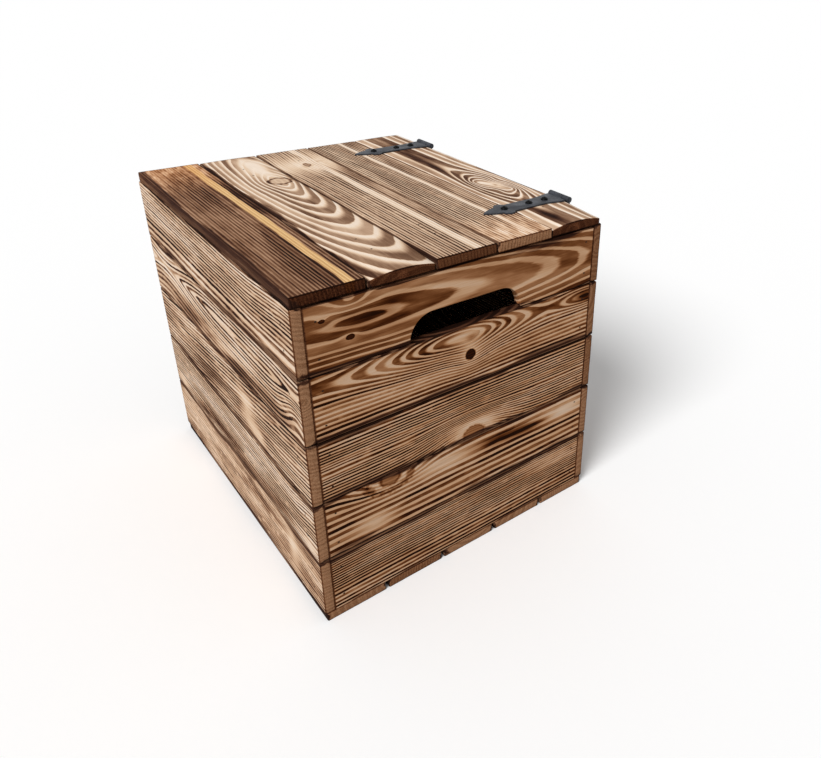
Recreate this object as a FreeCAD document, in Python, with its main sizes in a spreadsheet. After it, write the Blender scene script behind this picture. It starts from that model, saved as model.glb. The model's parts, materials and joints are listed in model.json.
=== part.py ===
import FreeCAD, Part
import os
import Sketcher
from FreeCAD import Rotation, Vector

# Wooden storage box: four walls of stacked boards on a slatted floor, nailed to corner posts,
# with a boarded lid on two black strap hinges. Millimetres; +Z is up and +X points to the
# hinge wall. The origin is the middle of the floor's underside.

doc = FreeCAD.newDocument("storage_box")

# Driving dimensions: name, value and meaning.
dimensions = [
    ("box_width", 330, "outside of the front wall to outside of the back wall"),
    ("box_depth", 390, "outside of one hand-hole end to outside of the other"),
    ("wall_height", 330, "ground to the top of the front and back walls"),
    ("board_thickness", 10, "thickness of every wall board"),
    ("edge_ease", 0.8, "bevel on the edges of the boards"),
    ("courses", 5, "boards stacked in each wall"),
    ("course_gap", 1.2, "open seam between two stacked boards"),
    ("end_drop", 2, "how far the end walls stop below the front and back walls"),
    ("slat_count", 5, "slats in the floor"),
    ("slat_thickness", 10, "thickness of a floor slat"),
    ("slat_gap", 3.5, "gap between two floor slats"),
    ("slat_inset", 1.5, "floor slats lie this far inside the front and back faces"),
    ("post_size", 22, "side of a square corner post"),
    ("post_clearance", 2, "gap between the top of a post and the underside of the lid battens"),
    ("hand_hole_width", 123, "width of a hand hole"),
    ("hand_hole_height", 25, "height of a hand hole, cut up from the edge of the top end board"),
    ("hand_hole_corner", 24, "radius of the hand hole's upper corners"),
    ("lid_count", 5, "boards in the lid"),
    ("lid_thickness", 10, "thickness of a lid board"),
    ("lid_gap", 1.4, "open seam between two lid boards"),
    ("lid_inset", 1, "lid's front edge lies this far inside the front face"),
    ("lid_shift_1", 0, "first lid board set toward the left end, from flush"),
    ("lid_shift_2", -1, "second lid board"),
    ("lid_shift_3", -1.5, "third lid board"),
    ("lid_shift_4", -2, "fourth lid board"),
    ("lid_shift_5", -0.4, "fifth lid board"),
    ("batten_width", 40, "width of a lid batten"),
    ("batten_thickness", 10, "thickness of a lid batten"),
    ("batten_clearance", 6, "gap between a batten's end and the wall"),
    ("hinge_inset", 64.5, "middle of a hinge to the nearer end of the box"),
    ("leaf_thickness", 1.6, "sheet thickness of the hinges"),
    ("hinge_clearance", 0.5, "gap between a hinge barrel and what passes it"),
    ("pin_diameter", 3.2, "hinge pin"),
    ("pin_clearance", 0.05, "running gap between pin and knuckle, on the radius"),
    ("pin_end", 0.8, "pin standing out of the barrel at each end"),
    ("knuckle_length", 12, "middle knuckle, which belongs to the strap"),
    ("side_knuckle_length", 9, "each outer knuckle, which belongs to the wall leaf"),
    ("knuckle_gap", 0.3, "gap between two knuckles"),
    ("roll_slit", 0.4, "slit where a rolled knuckle closes on its leaf"),
    ("strap_length", 101, "hinge pin to the tip of the strap"),
    ("strap_width", 20, "straight part of the strap"),
    ("flare_width", 27, "widened end of the strap beside the barrel"),
    ("flare_end", 9, "hinge pin to where the strap begins to narrow"),
    ("waist_start", 26, "hinge pin to where the strap is straight"),
    ("shoulder_gap", 1.6, "gap between the strap's shoulders and the outer knuckles"),
    ("tip_width", 18, "width of the pointed tip at its root"),
    ("lobe_radius", 7, "round lobes on both sides of the last strap screw"),
    ("lobe_offset", 7, "middle of a lobe to the strap's centre line"),
    ("screw_reach_1", 22, "hinge pin to the first strap screw"),
    ("screw_reach_2", 43, "hinge pin to the second strap screw"),
    ("screw_reach_3", 75, "hinge pin to the last strap screw"),
    ("leaf_length", 40, "hinge pin to the lower edge of the wall leaf"),
    ("leaf_corner", 6, "clipped lower corners of the wall leaf"),
    ("leaf_screw_drop", 27, "hinge pin to the wall leaf's screws"),
    ("leaf_screw_spacing", 21, "distance between the two screws of a wall leaf"),
    ("screw_head_diameter", 7.6, "domed screw head"),
    ("screw_head_height", 2.6, "height of the dome"),
    ("screw_shank_diameter", 3.4, "screw shank"),
    ("screw_depth", 8.5, "depth of a screw in the wood"),
    ("brad_length", 25, "brads in the walls and the floor"),
    ("lid_brad_length", 18, "brads in the lid"),
    ("brad_width", 1.8, "brad along the grain"),
    ("brad_breadth", 1.4, "brad across the grain"),
    ("brad_inset", 20, "brads to the outer corner of the box"),
    ("side_row_spacing", 24, "two brads in one end of a front or back board"),
    ("end_row_spacing", 34, "two brads in one end of an end board"),
    ("slat_brad_inset", 13.3, "floor brads to the edge of their slat"),
    ("lid_brad_clear", 4, "lid brads to the edge of the hinge strap"),
]
sheet = doc.addObject("Spreadsheet::Sheet", "Dims")
for row, (alias, amount, meaning) in enumerate(dimensions, start=1):
    sheet.set(f"A{row}", meaning)
    sheet.set(f"B{row}", str(amount))
    sheet.setAlias(f"B{row}", alias)
doc.recompute()

# Sizes and places that follow from the driving dimensions.
half_width = "(Dims.box_width / 2)"
half_depth = "(Dims.box_depth / 2)"
course_width = (
    "((Dims.wall_height - Dims.slat_thickness - (Dims.courses - 1) * Dims.course_gap)"
    " / Dims.courses)"
)
course_pitch = f"({course_width} + Dims.course_gap)"
slat_width = (
    "((Dims.box_width - 2 * Dims.slat_inset - (Dims.slat_count - 1) * Dims.slat_gap)"
    " / Dims.slat_count)"
)
slat_pitch = f"({slat_width} + Dims.slat_gap)"
bore_radius = "(Dims.pin_diameter / 2 + Dims.pin_clearance)"
barrel_radius = f"({bore_radius} + Dims.leaf_thickness)"
barrel_length = "(Dims.knuckle_length + 2 * Dims.knuckle_gap + 2 * Dims.side_knuckle_length)"
lid_top = "(Dims.wall_height + Dims.lid_thickness)"
pin_x = f"({half_width} + Dims.leaf_thickness / 2)"
pin_z = f"({lid_top} + Dims.leaf_thickness / 2)"
hinge_y = f"({half_depth} - Dims.hinge_inset)"
lid_front = f"(Dims.lid_inset - {half_width})"
lid_back = f"({pin_x} - {barrel_radius} - Dims.hinge_clearance)"
lid_width = f"(({lid_back} - {lid_front} - (Dims.lid_count - 1) * Dims.lid_gap) / Dims.lid_count)"
lid_pitch = f"({lid_width} + Dims.lid_gap)"
post_height = (
    "(Dims.wall_height - Dims.slat_thickness - Dims.batten_thickness - Dims.post_clearance)"
)

# Whole counts, for the loops below.
course_numbers = range(1, int(sheet.courses) + 1)
slat_numbers = range(1, int(sheet.slat_count) + 1)
lid_numbers = range(1, int(sheet.lid_count) + 1)

nodes = {}


def value(text):
    return float(sheet.evalExpression(text))


def bind(item, **formulas):
    for name, text in formulas.items():
        item.setExpression(name, text)


def place(item, at, turn=None):
    if turn is not None:
        item.Placement.Rotation = turn
    for axis, text in zip("xyz", at):
        item.setExpression(f"Placement.Base.{axis}", text)


def new_body(label):
    return doc.addObject("PartDesign::Body", label)


def origin_part(body, role):
    return next(item for item in body.Origin.OriginFeatures if item.Role == role)


def new_sketch(body, name, plane):
    sketch = body.newObject("Sketcher::SketchObject", name)
    sketch.AttachmentSupport = (origin_part(body, plane), [""])
    sketch.MapMode = "FlatFace"
    return sketch


def fix_point(sketch, geometry, which, at):
    # Ties one point of the sketch to two formulas, measured from the sketch's origin.
    for kind, text in zip(("DistanceX", "DistanceY"), at):
        number = sketch.addConstraint(
            Sketcher.Constraint(kind, -1, 1, geometry, which, value(text))
        )
        sketch.setExpression(f"Constraints[{number}]", text)


def add_polygon(sketch, corners):
    # Closed outline of straight lines through corners given as pairs of formulas.
    points = [Vector(value(x), value(y), 0) for x, y in corners]
    total = len(points)
    for number in range(total):
        sketch.addGeometry(Part.LineSegment(points[number], points[(number + 1) % total]), False)
    for number, corner in enumerate(corners):
        sketch.addConstraint(
            Sketcher.Constraint("Coincident", number, 2, (number + 1) % total, 1)
        )
        fix_point(sketch, number, 1, corner)


def add_pad(body, name, sketch, thickness):
    # Plate of even thickness on both sides of its sketch.
    pad = body.newObject("PartDesign::Pad", name)
    pad.Profile = sketch
    pad.SideType = "Symmetric"
    bind(pad, Length=thickness)
    return pad


def add_round(body, name, kind, radius, length, at, turn=None):
    # Round bar, added or taken away, from its end at the given place.
    bar = body.newObject(f"PartDesign::{kind}Cylinder", name)
    bind(bar, Radius=radius, Height=length)
    place(bar, at, turn)
    return bar


def add_block(body, name, kind, size, at):
    block = body.newObject(f"PartDesign::{kind}Box", name)
    bind(block, Length=size[0], Width=size[1], Height=size[2])
    place(block, at)
    return block


def repeat(body, features, rows):
    # Copies features along the body's axes: rows of (axis, count, distance between copies).
    body.AllowCompound = True
    series = []
    for number, (axis, count, distance) in enumerate(rows, start=1):
        line = doc.addObject("PartDesign::LinearPattern", f"{body.Name}_row_{number}")
        line.Direction = (origin_part(body, axis), [""])
        bind(line, Length=f"({count} - 1) * {distance}", Occurrences=count)
        series.append(line)
    copies = body.newObject("PartDesign::MultiTransform", f"{body.Name}_copies")
    copies.Originals = features
    copies.Transformations = series
    body.Tip = copies


def fit(label, blank, fasteners):
    # Takes the fasteners' own shapes out of the piece that they are driven into.
    piece = blank
    for number, fastener in enumerate(fasteners, start=1):
        last = number == len(fasteners)
        cut = doc.addObject("Part::Cut", label if last else f"{label}_cut_{number}")
        cut.Base = piece
        cut.Tool = fastener
        piece = cut
    piece.Label = label
    nodes[label] = piece
    return piece


def new_board(label, size, at):
    # Straight sawn board with every edge eased, from its lowest corner.
    body = new_body(f"{label}_blank")
    stock = add_block(body, f"{label}_stock", "Additive", size, ("0", "0", "0"))
    ease = body.newObject("PartDesign::Chamfer", f"{label}_ease")
    ease.Base = (stock, [f"Edge{number}" for number in range(1, 13)])
    bind(ease, Size="Dims.edge_ease")
    body.Tip = ease
    place(body, at)
    return body


def cut_hand_hole(body, label):
    # Slot with rounded upper corners, open at the board's lower edge.
    middle = "(Dims.box_width / 2 - Dims.board_thickness)"
    left = f"({middle} - Dims.hand_hole_width / 2)"
    right = f"({middle} + Dims.hand_hole_width / 2)"
    corner = "min(Dims.hand_hole_corner; Dims.hand_hole_height - 0.5)"
    top = "Dims.hand_hole_height"
    spring = f"({top} - {corner})"
    below = "-Dims.board_thickness"
    corners = [
        (left, below),
        (right, below),
        (right, spring),
        (f"{right} - {corner}", top),
        (f"{left} + {corner}", top),
        (left, spring),
    ]
    points = [Vector(value(x), value(y), 0) for x, y in corners]
    reach = value(corner)
    sketch = new_sketch(body, f"{label}_hole_outline", "XZ_Plane")
    bow_right = Part.Circle(Vector(points[3].x, points[2].y, 0), Vector(0, 0, 1), reach)
    bow_left = Part.Circle(Vector(points[4].x, points[5].y, 0), Vector(0, 0, 1), reach)
    quarter = 1.5707963267948966
    sketch.addGeometry(Part.LineSegment(points[0], points[1]), False)
    sketch.addGeometry(Part.LineSegment(points[1], points[2]), False)
    sketch.addGeometry(Part.ArcOfCircle(bow_right, 0, quarter), False)
    sketch.addGeometry(Part.LineSegment(points[3], points[4]), False)
    sketch.addGeometry(Part.ArcOfCircle(bow_left, quarter, 2 * quarter), False)
    sketch.addGeometry(Part.LineSegment(points[5], points[0]), False)
    for number in range(6):
        sketch.addConstraint(Sketcher.Constraint("Coincident", number, 2, (number + 1) % 6, 1))
        fix_point(sketch, number, 1, corners[number])
    for bow in (2, 4):
        number = sketch.addConstraint(Sketcher.Constraint("Radius", bow, reach))
        sketch.setExpression(f"Constraints[{number}]", corner)
    slot = body.newObject("PartDesign::Pocket", f"{label}_hole")
    slot.Profile = sketch
    slot.SideType = "Symmetric"
    bind(slot, Length="4 * Dims.board_thickness")
    body.Tip = slot


def new_brads(label, length, at, turn, rows):
    # Group of headless brads, driven flush along the body's X axis from its origin.
    body = new_body(label)
    size = (length, "Dims.brad_width", "Dims.brad_breadth")
    corner = ("0", "-Dims.brad_width / 2", "-Dims.brad_breadth / 2")
    brad = add_block(body, f"{label}_brad", "Additive", size, corner)
    repeat(body, [brad], rows)
    place(body, at, turn)
    nodes[label] = body
    return body


def new_screws(label, at, turn, places, rows):
    # Dome-head screws at places along the body's X axis, heads on its XY plane, repeated in rows.
    body = new_body(label)
    rim = "(Dims.screw_head_diameter / 2)"
    rise = "Dims.screw_head_height"
    bow = f"(({rim} ^ 2 + {rise} ^ 2) / (2 * {rise}))"
    sunk = f"({bow} - {rise})"
    reach = "(Dims.leaf_thickness + Dims.screw_depth)"
    body.AllowCompound = True
    features = []
    for number, x in enumerate(places, start=1):
        dome = body.newObject("PartDesign::AdditiveSphere", f"{label}_dome_{number}")
        bind(dome, Radius=bow, Angle1=f"asin({sunk} / {bow})")
        place(dome, (x, "0", f"-{sunk}"))
        shank = body.newObject("PartDesign::AdditivePrism", f"{label}_shank_{number}")
        shank.Polygon = 8
        bind(shank, Circumradius="Dims.screw_shank_diameter / 2", Height=reach)
        place(shank, (x, "0", f"-{reach}"))
        features += [dome, shank]
    repeat(body, features, rows)
    place(body, at, turn)
    nodes[label] = body
    return body


# Brads: the walls are nailed into the corner posts, the floor slats into the end walls and the
# lid boards into the battens.
lowest_course = f"(Dims.slat_thickness + {course_width} / 2)"
side_row = f"({lowest_course} - Dims.side_row_spacing / 2)"
end_row = f"({lowest_course} - Dims.end_row_spacing / 2)"
side_rows = [
    ("Y_Axis", "2", "(Dims.box_depth - 2 * Dims.brad_inset)"),
    ("Z_Axis", "2", "Dims.side_row_spacing"),
    ("Z_Axis", "Dims.courses", course_pitch),
]
end_rows = [
    ("Y_Axis", "2", "(Dims.box_width - 2 * Dims.brad_inset)"),
    ("Z_Axis", "2", "Dims.end_row_spacing"),
    ("Z_Axis", "Dims.courses", course_pitch),
]
front_brads = new_brads(
    "front_wall_brads",
    "Dims.brad_length",
    (f"-{half_width}", f"Dims.brad_inset - {half_depth}", side_row),
    Rotation(),
    side_rows,
)
back_brads = new_brads(
    "back_wall_brads",
    "Dims.brad_length",
    (half_width, f"{half_depth} - Dims.brad_inset", side_row),
    Rotation(Vector(0, 0, 1), 180),
    side_rows,
)
right_brads = new_brads(
    "right_end_brads",
    "Dims.brad_length",
    (f"{half_width} - Dims.brad_inset", f"-{half_depth}", end_row),
    Rotation(Vector(0, 0, 1), 90),
    end_rows,
)
left_brads = new_brads(
    "left_end_brads",
    "Dims.brad_length",
    (f"Dims.brad_inset - {half_width}", half_depth, end_row),
    Rotation(Vector(0, 0, 1), -90),
    end_rows,
)
last_slat = f"({half_width} - Dims.slat_inset - {slat_width} / 2)"
slat_brad_spacing = f"({slat_width} - 2 * Dims.slat_brad_inset)"
floor_brads = new_brads(
    "floor_brads",
    "Dims.brad_length",
    (
        f"{last_slat} + {slat_brad_spacing} / 2",
        f"Dims.board_thickness / 2 - {half_depth}",
        "0",
    ),
    Rotation(Vector(0, 1, 0), -90),
    [
        ("Y_Axis", "2", "(Dims.box_depth - Dims.board_thickness)"),
        ("Z_Axis", "2", slat_brad_spacing),
        ("Z_Axis", "Dims.slat_count", slat_pitch),
    ],
)
lid_brad_spacing = "(Dims.strap_width + 2 * Dims.lid_brad_clear)"
lid_brads = new_brads(
    "lid_brads",
    "Dims.lid_brad_length",
    (f"{lid_front} + {lid_width} / 2", f"-{hinge_y} - {lid_brad_spacing} / 2", lid_top),
    Rotation(Vector(0, 1, 0), 90),
    [
        ("Y_Axis", "2", lid_brad_spacing),
        ("Y_Axis", "2", f"(2 * {hinge_y})"),
        ("Z_Axis", "Dims.lid_count", lid_pitch),
    ],
)

# Screws: three through each strap into the lid, two through each wall leaf into the back wall.
strap_screws = new_screws(
    "strap_screws",
    (pin_x, f"-{hinge_y}", f"{lid_top} + Dims.leaf_thickness"),
    Rotation(),
    ["-Dims.screw_reach_1", "-Dims.screw_reach_2", "-Dims.screw_reach_3"],
    [("Y_Axis", "2", f"(2 * {hinge_y})")],
)
leaf_screws = new_screws(
    "leaf_screws",
    (
        f"{half_width} + Dims.leaf_thickness",
        f"-{hinge_y} - Dims.leaf_screw_spacing / 2",
        f"{pin_z} - Dims.leaf_screw_drop",
    ),
    Rotation(Vector(0, 1, 0), 90),
    ["0"],
    [
        ("Y_Axis", "2", "Dims.leaf_screw_spacing"),
        ("Y_Axis", "2", f"(2 * {hinge_y})"),
    ],
)

# Floor slats, front to back, under the walls.
for number in slat_numbers:
    label = f"floor_slat_{number}"
    size = (slat_width, "Dims.box_depth", "Dims.slat_thickness")
    at = (f"Dims.slat_inset - {half_width} + {number - 1} * {slat_pitch}", f"-{half_depth}", "0")
    fit(label, new_board(label, size, at), [floor_brads])

# Corner posts inside the walls, sawn square.
inner_x = f"({half_width} - Dims.board_thickness)"
inner_y = f"({half_depth} - Dims.board_thickness)"
posts = [
    ("front_right_post", f"-{inner_x}", f"-{inner_y}", [front_brads, right_brads]),
    ("front_left_post", f"-{inner_x}", f"{inner_y} - Dims.post_size", [front_brads, left_brads]),
    ("back_right_post", f"{inner_x} - Dims.post_size", f"-{inner_y}", [back_brads, right_brads]),
    (
        "back_left_post",
        f"{inner_x} - Dims.post_size",
        f"{inner_y} - Dims.post_size",
        [back_brads, left_brads],
    ),
]
for label, x, y, fasteners in posts:
    post = new_body(f"{label}_blank")
    size = ("Dims.post_size", "Dims.post_size", post_height)
    add_block(post, f"{label}_stock", "Additive", size, ("0", "0", "0"))
    place(post, (x, y, "Dims.slat_thickness"))
    fit(label, post, fasteners)

# Wall boards, counted from the top. The front and back boards cover the ends of the end boards.
for number in course_numbers:
    foot = f"Dims.wall_height - {number} * {course_width} - {number - 1} * Dims.course_gap"
    top_board = number == 1
    side_size = ("Dims.board_thickness", "Dims.box_depth", course_width)
    end_height = f"{course_width} - Dims.end_drop" if top_board else course_width
    end_size = ("Dims.box_width - 2 * Dims.board_thickness", "Dims.board_thickness", end_height)
    end_fasteners = [floor_brads] if number == course_numbers[-1] else []

    label = f"front_board_{number}"
    front = new_board(label, side_size, (f"-{half_width}", f"-{half_depth}", foot))
    fit(label, front, [front_brads])

    label = f"back_board_{number}"
    back = new_board(label, side_size, (inner_x, f"-{half_depth}", foot))
    fit(label, back, [back_brads, leaf_screws] if top_board else [back_brads])

    label = f"right_end_board_{number}"
    right_end = new_board(label, end_size, (f"-{inner_x}", f"-{half_depth}", foot))
    if top_board:
        cut_hand_hole(right_end, label)
    fit(label, right_end, end_fasteners + [right_brads])

    label = f"left_end_board_{number}"
    left_end = new_board(label, end_size, (f"-{inner_x}", inner_y, foot))
    if top_board:
        cut_hand_hole(left_end, label)
    fit(label, left_end, end_fasteners + [left_brads])

# Lid boards, counted from the front, and the two battens that hold them together.
for number in lid_numbers:
    label = f"lid_board_{number}"
    shift = f"Dims.lid_shift_{number}" if hasattr(sheet, f"lid_shift_{number}") else "0"
    size = (lid_width, "Dims.box_depth", "Dims.lid_thickness")
    at = (f"{lid_front} + {number - 1} * {lid_pitch}", f"{shift} - {half_depth}", "Dims.wall_height")
    fit(label, new_board(label, size, at), [lid_brads, strap_screws])

for number, side in ((1, "-1"), (2, "1")):
    label = f"lid_batten_{number}"
    size = (
        f"2 * {inner_x} - 2 * Dims.batten_clearance",
        "Dims.batten_width",
        "Dims.batten_thickness",
    )
    at = (
        f"Dims.batten_clearance - {inner_x}",
        f"{side} * {hinge_y} - Dims.batten_width / 2",
        "Dims.wall_height - Dims.batten_thickness",
    )
    fit(label, new_board(label, size, at), [lid_brads])


def new_strap(label):
    # Strap leaf around the pin: flared root, straight bar, two lobes and a pointed tip.
    body = new_body(f"{label}_blank")
    lobe_x = "Dims.screw_reach_3"
    shoulder = f"({barrel_radius} + Dims.shoulder_gap)"
    tongue = "Dims.knuckle_length / 2"
    flare = "Dims.flare_width / 2"
    bar = "Dims.strap_width / 2"
    upper = [
        ("0.0", tongue),
        (shoulder, tongue),
        (shoulder, flare),
        ("Dims.flare_end", flare),
        ("Dims.waist_start", bar),
        (lobe_x, bar),
    ]
    lower = [(x, f"-{y}") for x, y in reversed(upper)]
    outline = new_sketch(body, f"{label}_outline", "XY_Plane")
    add_polygon(outline, upper + lower)
    add_pad(body, f"{label}_plate", outline, "Dims.leaf_thickness")

    root = value("Dims.tip_width / 2")
    start = value(lobe_x)
    run = value(f"Dims.strap_length - {lobe_x}")
    bow = (run * run + root * root) / (2 * root)
    near_tip = Vector(start + run * 0.6, root - bow + (bow * bow - (run * 0.6) ** 2) ** 0.5, 0)
    point = Vector(start + run, 0, 0)
    tip = new_sketch(body, f"{label}_tip_outline", "XY_Plane")
    tip.addGeometry(Part.Arc(point, near_tip, Vector(start, root, 0)), False)
    tip.addGeometry(Part.LineSegment(Vector(start, root, 0), Vector(start, -root, 0)), False)
    mirrored_tip = Vector(near_tip.x, -near_tip.y, 0)
    tip.addGeometry(Part.Arc(Vector(start, -root, 0), mirrored_tip, point), False)
    for number in range(3):
        tip.addConstraint(Sketcher.Constraint("Coincident", number, 2, (number + 1) % 3, 1))
    tip.addConstraint(Sketcher.Constraint("PointOnObject", 0, 1, -1))
    reach = tip.addConstraint(Sketcher.Constraint("DistanceX", -1, 1, 0, 1, point.x))
    tip.setExpression(f"Constraints[{reach}]", "Dims.strap_length")
    fix_point(tip, 1, 1, (lobe_x, "Dims.tip_width / 2"))
    fix_point(tip, 1, 2, (lobe_x, "-Dims.tip_width / 2"))
    for curve in (0, 2):
        middle = tip.addConstraint(Sketcher.Constraint("DistanceX", -1, 1, curve, 3, start))
        tip.setExpression(f"Constraints[{middle}]", lobe_x)
    add_pad(body, f"{label}_tip", tip, "Dims.leaf_thickness")

    under = "-Dims.leaf_thickness / 2"
    for name, side in (("lobe_a", "1"), ("lobe_b", "-1")):
        at = (lobe_x, f"{side} * Dims.lobe_offset", under)
        add_round(body, f"{label}_{name}", "Additive", "Dims.lobe_radius", "Dims.leaf_thickness", at)

    along = Rotation(Vector(1, 0, 0), -90)
    half = "Dims.knuckle_length / 2"
    knuckle_at = ("0", f"-{half}", "0")
    add_round(
        body, f"{label}_knuckle", "Additive", barrel_radius, "Dims.knuckle_length", knuckle_at, along
    )
    bore_at = ("0", f"-{barrel_length}", "0")
    add_round(
        body, f"{label}_bore", "Subtractive", bore_radius, f"2 * {barrel_length}", bore_at, along
    )
    add_block(
        body,
        f"{label}_slit",
        "Subtractive",
        (barrel_radius, "2 * Dims.knuckle_length", "Dims.roll_slit"),
        (f"{bore_radius} / 2", "-Dims.knuckle_length", f"{under} - Dims.roll_slit"),
    )
    return body


def new_wall_leaf(label):
    # Wall leaf around the pin: a plate that hangs from two knuckles, with clipped lower corners.
    body = new_body(f"{label}_blank")
    side = f"({barrel_length} / 2)"
    low = "-Dims.leaf_length"
    clip = f"({side} - Dims.leaf_corner)"
    outline = new_sketch(body, f"{label}_outline", "YZ_Plane")
    corners = [
        (f"-{side}", "0.0"),
        (f"-{side}", f"{low} + Dims.leaf_corner"),
        (f"-{clip}", low),
        (clip, low),
        (side, f"{low} + Dims.leaf_corner"),
        (side, "0.0"),
    ]
    add_polygon(outline, corners)
    add_pad(body, f"{label}_plate", outline, "Dims.leaf_thickness")
    along = Rotation(Vector(1, 0, 0), -90)
    barrel_at = ("0", f"-{side}", "0")
    add_round(body, f"{label}_barrel", "Additive", barrel_radius, barrel_length, barrel_at, along)
    room = f"({barrel_radius} + Dims.hinge_clearance)"
    gap = "(Dims.knuckle_length + 2 * Dims.knuckle_gap)"
    add_block(
        body,
        f"{label}_gap",
        "Subtractive",
        (f"2 * {room}", gap, f"2 * {room}"),
        (f"-{room}", f"-{gap} / 2", f"-{room}"),
    )
    bore_at = ("0", f"-{barrel_length}", "0")
    add_round(
        body, f"{label}_bore", "Subtractive", bore_radius, f"2 * {barrel_length}", bore_at, along
    )
    add_block(
        body,
        f"{label}_slit",
        "Subtractive",
        ("Dims.roll_slit", f"2 * {barrel_length}", barrel_radius),
        ("Dims.leaf_thickness / 2", f"-{barrel_length}", f"-{barrel_radius} - {bore_radius} / 2"),
    )
    return body


def new_pin(label):
    # Hinge pin through all three knuckles.
    body = new_body(label)
    length = f"({barrel_length} + 2 * Dims.pin_end)"
    along = Rotation(Vector(1, 0, 0), -90)
    at = ("0", f"-{length} / 2", "0")
    add_round(body, f"{label}_bar", "Additive", "Dims.pin_diameter / 2", length, at, along)
    return body


# Two hinges, the first beside the right end.
for number, side in ((1, "-1"), (2, "1")):
    at = (pin_x, f"{side} * {hinge_y}", pin_z)

    label = f"hinge_strap_{number}"
    strap = new_strap(label)
    place(strap, at, Rotation(Vector(0, 0, 1), 180))
    fit(label, strap, [strap_screws])

    label = f"hinge_leaf_{number}"
    leaf = new_wall_leaf(label)
    place(leaf, at)
    fit(label, leaf, [leaf_screws])

    label = f"hinge_pin_{number}"
    pin = new_pin(label)
    place(pin, at)
    nodes[label] = pin

doc.recompute()

# Every feature has to be sound before a piece is written.
for item in doc.Objects:
    if "Invalid" in item.State or "Error" in item.State:
        raise RuntimeError(f"{item.Label} did not build: {item.State}")
for label, item in nodes.items():
    if item.Shape.isNull() or not item.Shape.isValid() or not item.Shape.Solids:
        raise RuntimeError(f"{label} has no sound shape")

os.makedirs("parts", exist_ok=True)
for label, item in nodes.items():
    item.Shape.exportStep(f"parts/{label}.step")
print(len(nodes), "pieces written")
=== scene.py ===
import functools
import json
import math
import random

import bmesh
import bpy
from mathutils import Matrix, Vector, noise

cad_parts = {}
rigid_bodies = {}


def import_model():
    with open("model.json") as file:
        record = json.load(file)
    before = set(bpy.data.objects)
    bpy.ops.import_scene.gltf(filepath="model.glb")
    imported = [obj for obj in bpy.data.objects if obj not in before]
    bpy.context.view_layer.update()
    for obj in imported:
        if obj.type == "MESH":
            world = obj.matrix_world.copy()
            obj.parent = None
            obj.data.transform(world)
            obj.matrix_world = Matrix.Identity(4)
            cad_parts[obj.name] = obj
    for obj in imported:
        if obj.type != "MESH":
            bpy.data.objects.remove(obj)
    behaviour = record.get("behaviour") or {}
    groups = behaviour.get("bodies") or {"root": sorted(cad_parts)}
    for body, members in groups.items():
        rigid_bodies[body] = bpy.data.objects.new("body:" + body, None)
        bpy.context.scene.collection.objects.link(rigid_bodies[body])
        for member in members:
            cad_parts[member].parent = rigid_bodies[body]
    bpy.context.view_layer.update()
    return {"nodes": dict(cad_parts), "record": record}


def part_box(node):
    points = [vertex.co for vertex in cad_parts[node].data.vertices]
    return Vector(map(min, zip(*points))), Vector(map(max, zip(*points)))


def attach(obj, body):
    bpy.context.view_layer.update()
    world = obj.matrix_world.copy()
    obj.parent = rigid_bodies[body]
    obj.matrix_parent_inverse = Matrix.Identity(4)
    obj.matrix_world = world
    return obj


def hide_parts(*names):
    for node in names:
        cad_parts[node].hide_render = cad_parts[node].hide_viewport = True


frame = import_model()
scene = bpy.context.scene
mm = 0.001
print("frame loaded:", len(frame["nodes"]), "nodes")

# Short names of the node kinds that come up most, with their settings. A range takes a value, from, to, then
# the least and the most it gives. A colour mix takes its share at socket 0 and its colours at 6 and 7, and
# gives its colour at 2.
nodeKinds = {
    "range": ("ShaderNodeMapRange", {}),
    "smooth range": ("ShaderNodeMapRange", {"interpolation_type": "SMOOTHSTEP"}),
    "noise": ("ShaderNodeTexNoise", {}),
    "mix": ("ShaderNodeMix", {}),
    "colour mix": ("ShaderNodeMix", {"data_type": "RGBA"}),
    "tint": ("ShaderNodeMix", {"data_type": "RGBA", "blend_type": "MULTIPLY"}),
    "split": ("ShaderNodeSeparateXYZ", {}),
    "join": ("ShaderNodeCombineXYZ", {}),
    "group": ("ShaderNodeGroup", {}),
}
for way in "add subtract multiply divide multiply_add maximum absolute exponent fract floor".split():
    nodeKinds[way] = ("ShaderNodeMath", {"operation": way.upper()})
for way in "add subtract multiply divide scale length dot_product".split():
    nodeKinds["vector " + way] = ("ShaderNodeVectorMath", {"operation": way.upper()})
socketKinds = {tuple: "NodeSocketVector", float: "NodeSocketFloat", int: "NodeSocketInt"}


def linear(hexText):
    # sRGB hex to the linear colour that the shader takes
    parts = [int(hexText[at:at + 2], 16) / 255 for at in (1, 3, 5)]
    return tuple(p / 12.92 if p <= 0.04045 else ((p + 0.055) / 1.055) ** 2.4 for p in parts) + (1.0,)


def addNode(tree, kind, inputs=(), **settings):
    # one node, its settings, and its inputs in order or by name: a value, a socket or a node's first output
    kind, always = nodeKinds.get(kind, (kind, {}))
    node = tree.nodes.new(kind)
    for name, value in (always | settings).items():
        setattr(node, name, value)
    for key, value in inputs.items() if isinstance(inputs, dict) else enumerate(inputs):
        if isinstance(value, bpy.types.Node):
            value = value.outputs[0]
        if isinstance(value, bpy.types.NodeSocket):
            tree.links.new(value, node.inputs[key])
        else:
            node.inputs[key].default_value = value
    return node


def newGroup(name, kind, inputs, outputs):
    # node group: each input has a value or only a socket kind, each output a socket kind
    group = bpy.data.node_groups.new(name, kind)
    for label, value in inputs.items():
        socketKind = socketKinds.get(type(value), value)
        socket = group.interface.new_socket(label, in_out="INPUT", socket_type=socketKind)
        if socketKind != value:
            socket.default_value = value
    for label, socketKind in outputs.items():
        group.interface.new_socket(label, in_out="OUTPUT", socket_type=socketKind)
    return group


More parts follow.
